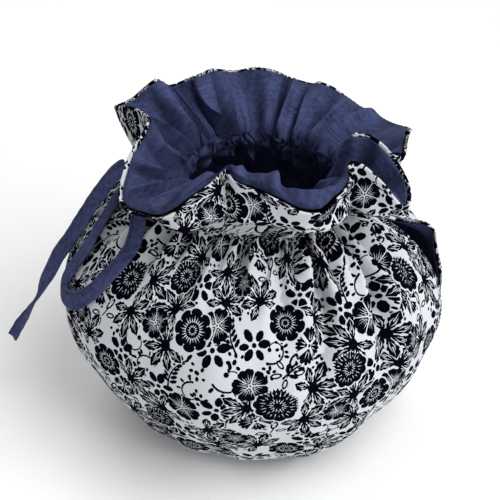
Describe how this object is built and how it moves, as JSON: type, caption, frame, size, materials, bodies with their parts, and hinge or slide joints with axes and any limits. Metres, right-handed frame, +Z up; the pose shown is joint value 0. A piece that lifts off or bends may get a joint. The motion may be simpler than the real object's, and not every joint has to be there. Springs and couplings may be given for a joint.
{
  "type": "tea cosy",
  "caption": "Gathered cotton tea cosy with a drawn-in neck, a standing frill, open side slits for spout and handle, and a flat fabric tie.",
  "frame": {"origin": "centre of the base, on the surface the hem rests on", "axes": "+Z up through the neck and frill; -Y towards the viewer's front panel; +X towards the spout slit and -X towards the handle slit"},
  "size_m": [0.2331, 0.2006, 0.1789],
  "materials": {
    "print_cotton": "woven cotton, pale ground with dark blue flowers, matte",
    "navy_cotton": "plain woven dark blue cotton, matte"
  },
  "bodies": {
    "root": {"outer_front": "print_cotton", "outer_back": "print_cotton", "lining_front": "navy_cotton", "lining_back": "navy_cotton", "tie": "navy_cotton"}
  },
  "joints": []
}
